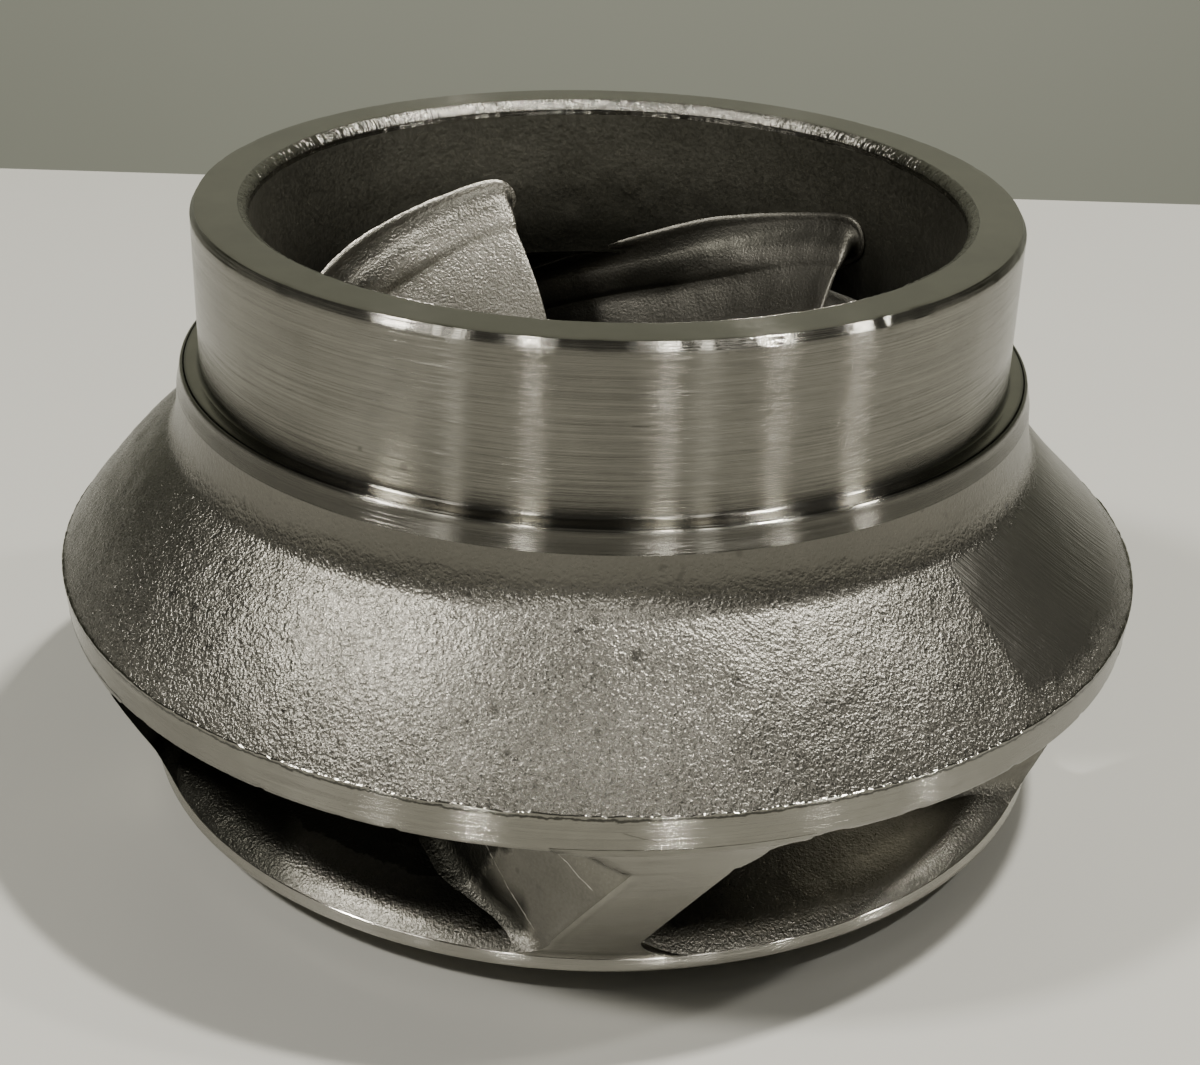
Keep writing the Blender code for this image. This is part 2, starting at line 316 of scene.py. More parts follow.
def spun(outline, steps):
    """An outline, in clockwise order, turned round the axis: points, outward directions, rows of the outline, faces."""
    angle = np.linspace(0, 2 * math.pi, steps, endpoint=False)[:, None]
    radius, height = outline[:, 0][None, :], outline[:, 1][None, :]
    run = np.roll(outline, -1, axis=0) - np.roll(outline, 1, axis=0)
    size = np.maximum(np.hypot(run[:, 0], run[:, 1]), 1e-9)
    out_r, out_z = (-run[:, 1] / size)[None, :], (run[:, 0] / size)[None, :]
    points, normals = (
        np.stack([r * np.cos(angle), r * np.sin(angle), np.broadcast_to(z, (steps, len(outline)))], axis=2)
        for r, z in ((radius, height), (out_r, out_z))
    )
    row = np.tile(np.arange(len(outline)), steps)
    faces = grid_faces(steps, len(outline))
    return points.reshape(-1, 3), normals.reshape(-1, 3), row, faces


# Materials.


def fill(made, inputs):
    """Links a node's inputs to values, or sets them to constants."""
    for key, value in inputs.items():
        if isinstance(value, Value):
            made.id_data.links.new(value.socket, made.inputs[key])
        else:
            made.inputs[key].default_value = value


def node(tree, kind, output, inputs, **settings):
    """Adds a shader node, sets its options, fills its inputs and gives the value that it works out."""
    made = tree.nodes.new(kind)
    for key, value in settings.items():
        setattr(made, key, value)
    fill(made, inputs)
    return Value(made.outputs[output])


class Value:
    """What a shader works out at each point. Arithmetic on it adds Math nodes, and | takes the larger of two."""

    def __init__(self, socket):
        self.socket, self.tree = socket, socket.id_data

    def maths(self, operation, other=0.0):
        return node(self.tree, "ShaderNodeMath", 0, {0: self, 1: other}, operation=operation)

    def __add__(self, other):
        return self.maths("ADD", other)

    def __sub__(self, other):
        return self.maths("SUBTRACT", other)

    def __rsub__(self, other):
        return node(self.tree, "ShaderNodeMath", 0, {0: other, 1: self}, operation="SUBTRACT")

    def __mul__(self, other):
        return self.maths("MULTIPLY", other)

    def __or__(self, other):
        return self.maths("MAXIMUM", other)


def new_material(name):
    made = bpy.data.materials.new(name)
    made.use_nodes = True
    tree = made.node_tree
    tree.nodes.clear()
    output = tree.nodes.new("ShaderNodeOutputMaterial")
    shader = tree.nodes.new("ShaderNodeBsdfPrincipled")
    tree.links.new(shader.outputs["BSDF"], output.inputs["Surface"])
    return made, tree, shader


def place_of(tree):
    """Object coordinates and their x, y and z."""
    place = node(tree, "ShaderNodeTexCoord", "Object", {})
    return place, separate(place)


def separate(vector):
    x = node(vector.tree, "ShaderNodeSeparateXYZ", 0, {0: vector})
    return [Value(socket) for socket in x.socket.node.outputs]


def combine(x, y, z=0.0):
    return node(x.tree, "ShaderNodeCombineXYZ", 0, {0: x, 1: y, 2: z})


def from_axis(x, y):
    """The distance from the impeller's axis."""
    return (x * x + y * y).maths("SQRT")


def azimuth_of(x, y):
    return y.maths("ARCTAN2", x)


def speckle(place, size_mm, detail, roughness, stretch=None):
    """Noise from 0 to 1 with lumps of about this size."""
    if stretch:
        place = node(place.tree, "ShaderNodeMapping", 0, {"Vector": place, "Scale": stretch})
    values = {"Vector": place, "Scale": 1000.0 / size_mm, "Detail": detail, "Roughness": roughness}
    return node(place.tree, "ShaderNodeTexNoise", "Fac", values)


def spread(value, low, high, to_low=0.0, to_high=1.0):
    """Maps a value from one range to another, clamped."""
    values = {"Value": value, "From Min": low, "From Max": high, "To Min": to_low, "To Max": to_high}
    return node(value.tree, "ShaderNodeMapRange", "Result", values)


def rise(length, low_mm, high_mm, top=1.0):
    """0 below the first of two lengths, rising to top at the second."""
    return spread(length, low_mm * MM, high_mm * MM, 0.0, top)


def fall(length, low_mm, high_mm, top=1.0, foot=0.0):
    """top below the first of two lengths, falling to foot at the second."""
    return spread(length, low_mm * MM, high_mm * MM, top, foot)


def near(length, centre_mm, half_mm, soft_mm):
    """1 close to the centre, falling to 0 outside."""
    return fall((length - centre_mm * MM).maths("ABSOLUTE"), half_mm, half_mm + soft_mm)


def mix_colour(share, a, b):
    tree = next(value.tree for value in (share, a, b) if isinstance(value, Value))
    a, b = ((*value, 1) if isinstance(value, tuple) else value for value in (a, b))
    return node(tree, "ShaderNodeMix", 2, {0: share, 6: a, 7: b}, data_type="RGBA")


def bump(height, distance_mm, normal=None, filter_width=0.1):
    values = {"Height": height, "Distance": distance_mm * MM, "Strength": 1.0, "Filter Width": filter_width}
    if normal is not None:
        values["Normal"] = normal
    return node(height.tree, "ShaderNodeBump", "Normal", values)


def spot(place, centre_mm, radius_mm, raggedness_mm):
    """1 inside a small ragged spot on the surface."""
    values = {0: place, 1: tuple(v * MM for v in centre_mm)}
    away = node(place.tree, "ShaderNodeVectorMath", "Value", values, operation="DISTANCE")
    ragged = speckle(place, 0.5, 3.0, 0.7) * (raggedness_mm * MM)
    return fall(away + ragged, radius_mm, radius_mm + 0.25)


def round_spot(place, centre, radius_mm, raggedness_mm):
    """A spot whose centre is given by its radius, azimuth and height."""
    radius, azimuth, height = centre
    azimuth = math.radians(azimuth)
    return spot(place, (radius * math.cos(azimuth), radius * math.sin(azimuth), height), radius_mm, raggedness_mm)


def scratch(place, x, z, ends, half_mm):
    """1 along a slightly wavy scratch between two places given in x and z, in mm."""
    (x0, z0), (x1, z1) = ends
    length = math.hypot(x1 - x0, z1 - z0)
    along_x, along_z = (x1 - x0) / length, (z1 - z0) / length
    dx, dz = x - x0 * MM, z - z0 * MM
    along = dx * along_x + dz * along_z
    across = dx * along_z - dz * along_x
    wave = (speckle(place, 2.6, 2.0, 0.5) - 0.5) * 0.0011
    return near(along, length / 2, length / 2, 0.5) * near(across + wave, 0.0, half_mm, half_mm)


def ring_shade_and_dirt(place, x, y, z, radius):
    """Painted shade in the corner, in the groove, on the shoulder's wall and under the burr, and dirt in the pits and
    cuts.
    """
    corner = near(z, SHOULDER_TOP + 0.25, 0.2, 0.25) * near(radius, EYE_RADIUS, 0.2, 0.2)
    groove = near(z, SHOULDER_TOP - 0.2, 0.3, 0.1) * near(radius, EYE_RADIUS + 2.1, 0.2, 0.25)
    wall = near(z, SHOULDER_FOOT + 1.2, 1.45, 0.15) * near(radius, WALL_RADIUS, 0.5, 0.2)
    jagged = speckle(place, 1.3, 3.0, 0.7) * 0.0011
    burr = near(z - jagged, DOME_FOOT - 0.75, 0.10, 0.12) * near(radius, BAND_RADIUS, 0.5, 0.3)
    first, second = (round_spot(place, *pit) for pit in RING_PITS)
    pit = first | second
    line = round_spot(place, *RING_LINE) * near(z, RING_LINE[0][2], 0.05, 0.08)
    cut = scratch(place, x, z, BAND_CUT, CUT_HALF_WIDTH) * (near(radius, BAND_RADIUS, 0.4, 0.2) * fall(y, -70.0, -60.0))
    marks = (cut | pit | line) * MARK_DIRT_SHARE
    return corner * CORNER_SHADE_SHARE | wall * WALL_SHADE_SHARE | groove * GROOVE_SHADE_SHARE | burr | marks


def turned_steel(name, colours, roughness, tool_pitch, tool_depth, mottling):
    """Bright turned steel: fine circular tool lines, streaked highlights, handling marks, painted shade in the corners
    and painted sheen low down.
    """
    made, tree, shader = new_material(name)
    place, (x, y, z) = place_of(tree)
    radius = from_axis(x, y)
    patches = speckle(place, 9.0, 3.0, 0.6)
    smears = speckle(place, 2.4, 3.0, 0.6, (1.0, 1.0, 3.0))
    share = spread(patches + smears * mottling, 0.45, 0.45 + 0.5 * (1 + mottling))
    colour = mix_colour(share, *colours)
    # Painted sheen: the back rim's edge, and all below it, is painted the brightest, standing in for its reflection of
    # the table, and the faces round the outlets are painted a little brighter than the neck.
    rim_sheen = fall(z, BACK_EDGE[1], BACK_EDGE[1] + 1.0, RIM_SHEEN_SHARE)
    painted_sheen = rim_sheen | near(z, 17.5, 10.5, 0.5) * OUTLET_SHEEN_SHARE
    colour = mix_colour(painted_sheen, colour, PAINTED_SHEEN_COLOUR)
    # Painted shade in the corner, the groove, on the shoulder's wall and under the burr, with real dirt in the pits and
    # cuts.
    colour = mix_colour(ring_shade_and_dirt(place, x, y, z, radius) * RING_SHADE_AND_DIRT_SHARE, colour, SHADE_AND_DIRT_COLOUR)
    chip = round_spot(place, *RING_CHIP) * near(radius, 54.6, 0.35, 0.1)
    colour = mix_colour(chip, colour, FRESH_CHIP)

    lip = near(radius, BORE_RADIUS + 0.5, 0.75, 0.1) * rise(z, EYE_TOP - 1.5, EYE_TOP - 1.3)
    rough = spread(smears, 0.3, 0.7, roughness - 0.02, roughness + 0.03) + lip * LIP_ROUGHENING

    # The lip was dressed by hand, which left short upright ticks on it.
    ticks = combine(azimuth_of(x, y) * (BORE_RADIUS * MM), z * 0.25, radius * 0.25)
    ticks = speckle(ticks, 0.5, 2.0, 0.6) * lip
    tool_lines = speckle(place, tool_pitch, 0.0, 0.5, (0.001, 0.001, 1.0))
    normal = bump(speckle(place, 0.55, 2.0, 0.5), 0.005)
    normal = bump(ticks, 0.25, normal, 0.03)
    normal = bump(tool_lines, tool_depth, normal, 0.01)

    round_axis = node(tree, "ShaderNodeVectorMath", 0, {0: (0.0, 0.0, 1.0), 1: place}, operation="CROSS_PRODUCT")
    round_axis = node(tree, "ShaderNodeVectorMath", 0, {0: round_axis}, operation="NORMALIZE")
    fill(shader, {"Base Color": colour, "Roughness": rough, "Normal": normal, "Tangent": round_axis})
    fill(shader, {"Metallic": 1.0, "Anisotropic": 1.0, "Anisotropic Rotation": 0.25})
    return made


def cast_steel(name, colours, grain_mm, grain_depth, roughness, smooth=None, zones=None, spots=(), pitted=1.0):
    """Sand-cast skin: coarse grain with finer grit on it, and dark pits.

    smooth gives the share of grain that is left where the skin was ground. zones gives the share of grain, the painted
    shade and the bright marks inside the passages.
    """
    made, tree, shader = new_material(name)
    place, (x, y, z) = place_of(tree)
    patches = speckle(place, 14.0, 3.0, 0.6)
    grit = speckle(place, 0.55 * grain_mm, 2.0, 0.6)
    grain = speckle(place, grain_mm, 1.5, 0.5)
    waves = speckle(place, 3.0 * grain_mm, 1.5, 0.5)
    pits = spread(speckle(place, 2.2, 1.0, 0.5), 0.24, 0.31, 1.0 - pitted, 1.0)
    colour = mix_colour(spread(patches + grain * 0.5, 0.5, 1.0), *colours)
    colour = mix_colour(pits, tuple(0.6 * c for c in colours[0]), colour)
    rough = spread(grit, 0.3, 0.7, roughness + 0.08, roughness - 0.08)
    height = grain + grit * 0.55 + waves * 0.5
    if smooth is not None:
        share = smooth(place, x, y, z)
        height = height * share
        share = spread(share, 0.0, 1.0)
        # File marks run at a slant across the ground patch.
        slanting = combine(azimuth_of(x, y) * 0.066 + z * 0.8, z * 0.06)
        filed = speckle(slanting, 0.45, 2.0, 0.6) * (1.0 - share) * fall(z, *TURNED_ZONE_END)
        height = height + filed * FILE_MARKS
        bare = mix_colour(rise(z, *TURNED_ZONE_END), *BARE_COLOURS)
        colour = mix_colour(share, bare, colour)
        rough = node(tree, "ShaderNodeMix", 0, {0: share, 2: roughness + 0.02, 3: rough}, data_type="FLOAT")
    for mark in spots:
        colour = mix_colour(round_spot(place, *mark) * SPOT_SHARE, colour, STAIN_AND_SHADE_COLOUR)
    if zones is not None:
        share, shade, marks = zones(place, x, y, z)
        height = height * share
        # Painted shade from the zones, mixed to the stain colour.
        colour = mix_colour(shade, colour, STAIN_AND_SHADE_COLOUR)
        colour = mix_colour(marks, colour, FRESH_SCRATCH)
    normal = bump(height, grain_depth)
    fill(shader, {"Base Color": colour, "Roughness": rough, "Normal": normal, "Metallic": 1.0})
    return made


def dome_grain(place, x, y, z):
    """How rough the outer dome is: little on the turned zone under the shoulder, least on the ground patch."""
    ragged = z + speckle(place, 3.5, 3.0, 0.65) * 0.0045
    below = fall(ragged, 53.5, 56.5, 1.0, 0.36) * fall(z, 36.0, 47.0, 1.35, 1.0)
    turned = azimuth_of(x, y) + speckle(place, 2.0, 3.0, 0.7) * 0.035
    patch = spread(turned + z * 2.3, math.radians(-38.0), math.radians(-37.2))
    patch = patch * spread(turned, math.radians(14), math.radians(22), 1.0, 0.0)
    patch = patch * rise(ragged, 37.5, 39.5) * fall(ragged, *TURNED_ZONE_END)
    patch = patch * spread(x * x + y * y, 0.0031, 0.0034)
    return below * spread(patch, 0.0, 1.0, 1.0, 0.18)


def passage_zones(place, x, y, z):
    """The vanes' ground ends, the scratches and spots, and painted shade: in the passages' depth, in the channel under
    the wall's fillet, on the vane's fold and its foot, at the floor's lip, beyond the bright strip near the floor's
    edge and at its ends; the ground facet is darker too.
    """
    radius = from_axis(x, y)
    (r0, z0), (r1, z1) = BACK_EDGE, FRONT_EDGE
    side = math.hypot(r1 - r0, z1 - z0)
    # How far inside the discharge cone, with a ragged edge.
    inside = z * ((r1 - r0) / side) - radius * ((z1 - z0) / side) + (r0 * (z1 - z0) - z0 * (r1 - r0)) / side * MM
    inside = inside + (speckle(place, 3.0, 3.0, 0.65) * 0.003 - 0.0015)
    low = fall(z, 40.0, 50.0)
    on_floor = fall(z, 10.0, 13.0)
    right = rise(x, 14.0, 30.0)
    ground = fall(inside, 7.5, 8.5) * rise(z, 7.5, 10.0) * low
    deep = rise(inside, 5.0, 8.5) * low * spread(right, 0.0, 1.0, 0.35, 0.0)
    strip = rise(inside, 1.4, 4.2) * (on_floor * spread(right, 0.0, 1.0, 0.75, 0.25))
    lip = fall(inside, 1.0, 2.0) * on_floor
    strip_end = (fall(x, -40.0, -26.0) + rise(x, 38.0, 48.0, 0.6)) * on_floor
    channel = near(radius, BORE_RADIUS - 1.6, 0.7, 0.8) * rise(z, 50.0, 53.0)
    fold = rise(inside, 7.0, 8.4) * low * spread(right, 0.0, 1.0, 0.95, 0.0)
    fold_foot = near(x, -10.4, 2.6, 2.4) * fall(z, 12.0, 18.0) * rise(inside, 0.6, 2.4)
    # Painted shade in the passages; the ground facet is also darker.
    shade = deep | strip | fold | fold_foot * 0.9 | lip * 0.5 | strip_end * 0.95 | ground * 0.5 | channel * 0.6
    first, second = (scratch(place, x, z, ends, SCRATCH_HALF_WIDTH) for ends in FACET_SCRATCHES)
    marks = (first | second) * fall(y, -58.0, -54.0) * spread(speckle(place, 0.8, 3.0, 0.7), 0.35, 0.6)
    for mark in PASSAGE_SPOTS:
        marks = marks | spot(place, *mark)
    return spread(ground, 0.0, 1.0, 1.0, 0.15), shade, marks


def bore_zones(place, x, y, z):
    """Painted shade: the bore's wall is painted darker towards its foot."""
    return 1.0, fall(z, 60.0, 73.0), 0.0


def stage_material(name, colour, roughness, speckle_mm, contrast=0.02):
    made, tree, shader = new_material(name)
    place, _ = place_of(tree)
    low, high = (tuple(c * (1 + change) for c in colour) for change in (-contrast, contrast))
    colour = mix_colour(speckle(place, speckle_mm, 4.0, 0.6), low, high)
    fill(shader, {"Base Color": colour, "Roughness": roughness})
    return made


# Turned and cast rings.


def make_neck(finish, bore_finish):
    """The turned eye ring on its shoulder, with a rough hand-dressed rounding inside the eye."""
    bore, eye, top, step = BORE_RADIUS, EYE_RADIUS, EYE_TOP, SHOULDER_TOP
    shoulder_edge = [(2.3, -0.08), (2.6, -0.1), (2.7, -0.4), (2.74, -0.9)]
    parts = [
        respaced([(bore, SHOULDER_FOOT + 0.1), (bore, top - 1.5)], 40),
        bezier([(bore, top - 1.4), (bore + 0.1, top - 0.9), (bore + 0.5, top - 0.3), (bore + 1.3, top)], 14),
        respaced([(bore + 1.5, top), (eye - 0.75, top)], 10),
        [(eye - 0.6, top - 0.02), (eye - 0.04, top - 0.95)],
        respaced([(eye, top - 1.1), (eye, step + 0.7)], 30),
        bezier([(eye, step + 0.6), (eye, step + 0.2), (eye + 0.2, step), (eye + 0.6, step)], 8),
        [(eye + 1.9, step), (eye + 2.0, step - 0.04), (eye + 2.12, step - 0.4), (eye + 2.24, step - 0.1)],
        bezier([(eye + r, step + z) for r, z in shoulder_edge], 8),
        respaced([(eye + 2.75, step - 1.1), (SHOULDER_RADIUS, SHOULDER_FOOT)], 6),
    ]
    bore_rows, lip_end, chamfer_row = (sum(len(part) for part in parts[:count]) for count in (1, 2, 3))
    outline = np.vstack(parts)
    flat, out, row, faces = spun(outline, NECK_STEPS)
    arc = round_the_axis(flat, EYE_RADIUS)
    ticks = arc.copy()
    ticks[:, 1] = 0.2 * flat[:, 2]
    lip = ramp(row, 30, 42) * ramp(row, lip_end + 1, lip_end - 3)
    move = lip * (0.11 * lumps(ticks, (0.45, 0.85, 3), (0.5, 0.5, 4)) + 0.05 * noise(arc, 9.0, 5))
    at_chamfer = np.abs(row - chamfer_row - 0.5) <= 1
    move -= np.where(at_chamfer, 0.1 * np.clip(noise(arc, 2.5, 6) - 0.35, 0, 1), 0.0)
    move += ramp(row, 28, 18) * 0.10 * noise(flat, 3.0, 8)
    flat = flat + out * move[:, None]
    flat[:, 2] = np.minimum(flat[:, 2], EYE_TOP)
    in_bore = faces[:, 0] % len(outline) < bore_rows - 2
    nodes = ("eye_ring", "shoulder_ring")
    return make_piece("neck", flat, faces, finish, nodes, "turned", 28.0, bore_finish, in_bore)


def wall_line(steps):
    """The passage's outer wall from the eye down to the front edge, then out under the lip."""
    bore = [(BORE_RADIUS, EYE_TOP), (BORE_RADIUS, 61.2)]
    lip = [(70.6, FRONT_EDGE[1]), FRONT_EDGE, (84.0, FRONT_EDGE[1])]
    return np.vstack([bore, bezier(INNER_WALL, steps), lip])


def wall_at_dome_foot(wall):
    return np.interp(DOME_FOOT, wall[::-1, 1], wall[::-1, 0]), DOME_FOOT


def make_front_shroud(finish):
    """The cast dome and the passages' outer wall, both with the lumps of a sand mould."""
    outside = respaced(np.vstack([bezier(DOME_FILLET, 12), bezier(DOME, 60)[1:]]), DOME_ROWS)
    inside = wall_line(80)
    inside = inside[(inside[:, 1] <= SHOULDER_FOOT) & (inside[:, 1] >= DOME_FOOT)]
    inside = np.vstack([wall_at_dome_foot(inside), inside[::-1], (BORE_RADIUS + 0.05, SHOULDER_FOOT)])
    outline = np.vstack([outside, respaced(inside, WALL_ROWS)])[::-1]
    flat, out, row, faces = spun(outline, DOME_STEPS)
    row = len(outline) - 1 - row  # counted from the dome's top, down the outside and up the wall
    on_dome, last = row < DOME_ROWS, DOME_ROWS - 1
    from_ends = np.minimum(np.minimum(row, last - row), 10) / 10
    from_wall_ends = np.minimum(np.minimum(row - DOME_ROWS, last + WALL_ROWS - row), 4) / 4
    from_ends = np.clip(np.where(on_dome, from_ends, from_wall_ends), 0, 1)
    angle = np.degrees(np.arctan2(flat[:, 1], flat[:, 0]))
    facing = np.clip(np.cos(np.radians(angle - 12)), 0, 1)
    swell = DOME_SWELL * facing**1.5 * np.sin(math.pi * ramp(row, 8, last)) ** 1.2 * on_dome
    ground = ramp(angle, -44, -40) * ramp(angle, 20, 14)
    share = np.where(on_dome, np.maximum(ramp(row, 14, 28), 0.08) * (1 - 0.8 * ground), 1.6) * from_ends
    rough = lumps(flat, (0.12, 6.0, 11), (0.06, 2.6, 12), (0.022, 1.3, 13))
    flat = flat + out * (share * rough + swell)[:, None]
    flat[:, :2] *= np.minimum(1.0, DOME_LIMIT / np.hypot(flat[:, 0], flat[:, 1]))[:, None]
    return make_piece("front_shroud_skin", flat, faces, finish, ("front_shroud",), "dome", 60.0)


def make_outlet_band(finish):
    """The turned band round the outlet, with the burr that the tool left along its top edge."""
    wall = wall_line(80)
    inside = wall[(wall[:, 1] <= DOME_FOOT) & (wall[:, 0] <= 70.7) & (wall[:, 1] >= FRONT_EDGE[1])]
    top, foot = np.array((BAND_TOP_RADIUS, DOME_FOOT)), np.array(FRONT_EDGE)
    parts = [
        inside[::-1],
        [wall_at_dome_foot(wall)],
        respaced([(71.5, DOME_FOOT), (74.4, DOME_FOOT)], 4),
        [(74.75, DOME_FOOT + 0.05), (74.95, DOME_FOOT + 0.15), (BAND_TOP_RADIUS, DOME_FOOT + 0.05)],
        respaced([top - (0, 0.15), foot + (0, 0.25)], 14),
        [foot + (-0.12, 0.02), foot + (-0.5, 0.0), (72.0, FRONT_EDGE[1]), (71.0, FRONT_EDGE[1])],
    ]
    burr_row, edge_row = (sum(len(part) for part in parts[:count]) for count in (3, 5))
    flat, out, row, faces = spun(np.vstack(parts), BAND_STEPS)
    arc = round_the_axis(flat, BAND_RADIUS)
    jag = np.clip(0.5 + 0.5 * lumps(arc, (0.6, 1.1, 21), (0.5, 4.0, 22), (0.3, 0.55, 23)), 0, 1.2)
    at_burr = (row == burr_row) | (row == burr_row + 1)
    flat[:, 2] += np.where(at_burr, BURR_HEIGHT * jag, 0.0)
    flat[:, 2] += np.where(row == burr_row + 2, BURR_FOOT_HEIGHT * jag, 0.0)
    at_edge = (row >= edge_row - 1) & (row <= edge_row)
    nick = np.where(at_edge, EDGE_NICK * np.clip(noise(arc, 1.8, 24) - 0.45, 0, 1), 0.0)
    flat = flat - out * nick[:, None]
    return make_piece("outlet_band_turned", flat, faces, finish, ("outlet_band",), "band", 30.0)


def make_back_shroud(finish):
    """The passages' floor, cast, with the coned recess under it."""
    line = bezier(HUB_LINE, 160)
    start = np.interp(BOSS_FOOT, line[::-1, 1], line[::-1, 0]), BOSS_FOOT
    floor = respaced(np.vstack([start, line[line[:, 1] <= BOSS_FOOT]]), 160)
    inwards = np.clip((BACK_EDGE[0] - floor[:, 0]) / 9.0, 0, 1)
    floor[:, 1] += FLOOR_ROLL * inwards * (1 - inwards) ** 2
    floor = respaced(floor, 70)
    under = respaced([(RIM_INNER_RADIUS, BACK_EDGE[1]), (RECESS_RADIUS, BOSS_FOOT)], UNDER_ROWS)
    outline = np.vstack([under[::-1], floor])
    flat, out, row, faces = spun(outline, FLOOR_STEPS)
    ends = np.minimum(np.abs(row - UNDER_ROWS), np.abs(len(outline) - 1 - row)) / 8
    under_ends = np.minimum(row, UNDER_ROWS - 1 - row) / 4
    ends = np.clip(np.minimum(ends, np.where(row < UNDER_ROWS, under_ends, 1)), 0, 1)
    rough = lumps(flat, (0.08, 5.0, 31), (0.04, 2.4, 32), (0.02, 1.2, 33))
    flat = flat + out * (rough * ends)[:, None]
    return make_piece("back_shroud_skin", flat, faces, finish, ("back_shroud",), "passages", 60.0)


def make_back_rim(finish):
    """The turned edge of the back shroud, a little rounded."""
    (edge, top), foot, inner = BACK_EDGE, RIM_FOOT, RIM_INNER_RADIUS
    outline = [(inner, foot + 0.2), (inner, top), (60.0, top), (63.7, top)]
    outline += [(64.02, top - 0.04), (edge, top - 0.2), (64.3, 4.5)]
    outline += [(64.4, foot + 0.35), (64.3, foot + 0.1), (64.0, foot), (60.0, foot), (inner + 0.2, foot)]
    flat, _, _, faces = spun(np.array(outline), RIM_STEPS)
    return make_piece("back_rim_turned", flat, faces, finish, ("back_rim",), "turned")


def bore_radius(angle):
    """The shaft bore's radius at an angle, with the keyway on the +X side."""
    side = abs((angle + math.pi) % (2 * math.pi) - math.pi)
    reach, half = SHAFT_RADIUS + KEYWAY_DEPTH, KEYWAY_WIDTH / 2
    if side < math.atan2(half, reach):
        return reach / math.cos(side)
    if side < math.asin(half / SHAFT_RADIUS):
        return half / math.sin(side)
    return SHAFT_RADIUS


def make_bored(name, outline, finish, nodes, group, cast_rows=0):
    """A turned outline with the keyed shaft bore through it. The outline goes up the outside and ends at the bore."""
    half, reach = KEYWAY_WIDTH / 2, SHAFT_RADIUS + KEYWAY_DEPTH
    marks = [math.atan2(half, reach), math.asin(half / SHAFT_RADIUS)]
    angles = [*np.linspace(0, 2 * math.pi, BORE_STEPS, endpoint=False), *marks, *(-m for m in marks), marks[0] / 2]
    angles = np.unique(np.mod(angles, 2 * math.pi))
    (_, foot), (_, top) = outline[0], outline[-1]
    rows = []
    for angle in angles:
        inner = bore_radius(angle)
        bore = [(inner + 0.4, top), (inner, top - 0.4), (inner, foot + 0.4), (inner + 0.4, foot)]
        radii, heights = np.array([*outline, *bore]).T
        rows.append(np.column_stack([radii * math.cos(angle), radii * math.sin(angle), heights]))
    points = np.concatenate(rows)
    faces = grid_faces(len(angles), len(rows[0]))
    if cast_rows:
        row = np.tile(np.arange(len(rows[0])), len(angles))
        radius = np.hypot(points[:, 0], points[:, 1])
        share = np.clip(np.minimum(row, cast_rows - row) / 4, 0, 1)
        points[:, :2] *= (1 + share * lumps(points, (0.10, 5.0, 41), (0.08, 2.2, 42)) / radius)[:, None]
    return make_piece(name, points, faces, finish, nodes, group)


def make_hub(cast, turned):
    """The cast boss inside the eye, and the turned base that the impeller stands on."""
    line = bezier(HUB_LINE, 160)
    side = respaced(np.vstack([line[line[:, 1] >= BOSS_FOOT][::-1], (18.2, 44.8)]), 50)
    boss = [tuple(p) for p in side] + [(17.6, 45.3), (BOSS_TOP_RADIUS, BOSS_TOP), (14.6, BOSS_TOP)]
    make_bored("hub_boss_skin", boss, cast, ("hub_boss",), "passages", 50)
    base = [(HUB_BASE_RADIUS - 1.0, 0.0), (HUB_BASE_RADIUS - 0.1, 0.9)]
    base += [(HUB_BASE_RADIUS, height) for height in (1.2, 9.0, BOSS_FOOT)]
    make_bored("hub_base_turned", base, turned, ("hub_base",), "turned")


# Vanes. A row is one level between the wall and the floor: arc lengths, the line's points, the length to the
# discharge cone, the share of the way from floor to wall, and how far the fillet swells it.


def wrap_share(along):
    """How much of the vane's turn is done at each share of its length: fast at the inlet, then slower."""
    fine = np.linspace(0, 1, 801)
    turn = ramp(fine, WRAP_TURN_START, WRAP_TURN_END)
    slope = WRAP_SLOPE_START + (WRAP_SLOPE_END - WRAP_SLOPE_START) * turn * turn * (3 - 2 * turn)
    total = np.concatenate([[0], np.cumsum((slope[1:] + slope[:-1]) / 2)])
    total /= total[-1]
    mean = np.sum(slope) / 801
    before = along * WRAP_SLOPE_START / mean
    after = 1 + (along - 1) * WRAP_SLOPE_END / mean
    return np.where(along < 0, before, np.where(along > 1, after, np.interp(along, fine, total)))


def offset_line(line, distance):
    """The line moved sideways to the left of its direction."""
    run = np.gradient(line, axis=0)
    size = np.maximum(np.hypot(run[:, 0], run[:, 1]), 1e-9)
    return line + distance * np.column_stack([-run[:, 1], run[:, 0]]) / size[:, None]


def leading_height(radius):
    return LEADING_TOP - LEADING_FALL * np.maximum(BORE_RADIUS - radius, 0.0) ** LEADING_POWER


def cone_side(line):
    """Negative inside the discharge cone, positive outside it."""
    (r0, z0), (r1, z1) = BACK_EDGE, FRONT_EDGE
    return (line[:, 0] - r0) * (z1 - z0) - (line[:, 1] - z0) * (r1 - r0)


def crossing(values):
    """The place along the line, as a fractional index, of the first change of sign."""
    k = np.flatnonzero(np.sign(values[1:]) != np.sign(values[:-1]))[0]
    return k + values[k] / (values[k] - values[k + 1])


def meridian(line):
    """Arc lengths from the leading edge, the line's points, and the whole length to the discharge cone."""
    line = respaced(line, 900)
    start = crossing(line[:, 1] - leading_height(line[:, 0]))
    finish = crossing(cone_side(line))
    step = lengths(line)[1]
    return (np.arange(len(line)) - start) * step, line, (finish - start) * step


def outer_row(depth):
    return meridian(offset_line(respaced(wall_line(200), 1400), -depth))


def floor_row(depth):
    floor = bezier(HUB_LINE, 300)
    above = floor[0] + np.array([(-3.2, 18.0), (-1.2, 6.0)])
    below = floor[-1] + np.array([(5.0, -1.85), (12.0, -4.4)])
    return meridian(offset_line(respaced(np.vstack([above, floor, below]), 1200), depth))


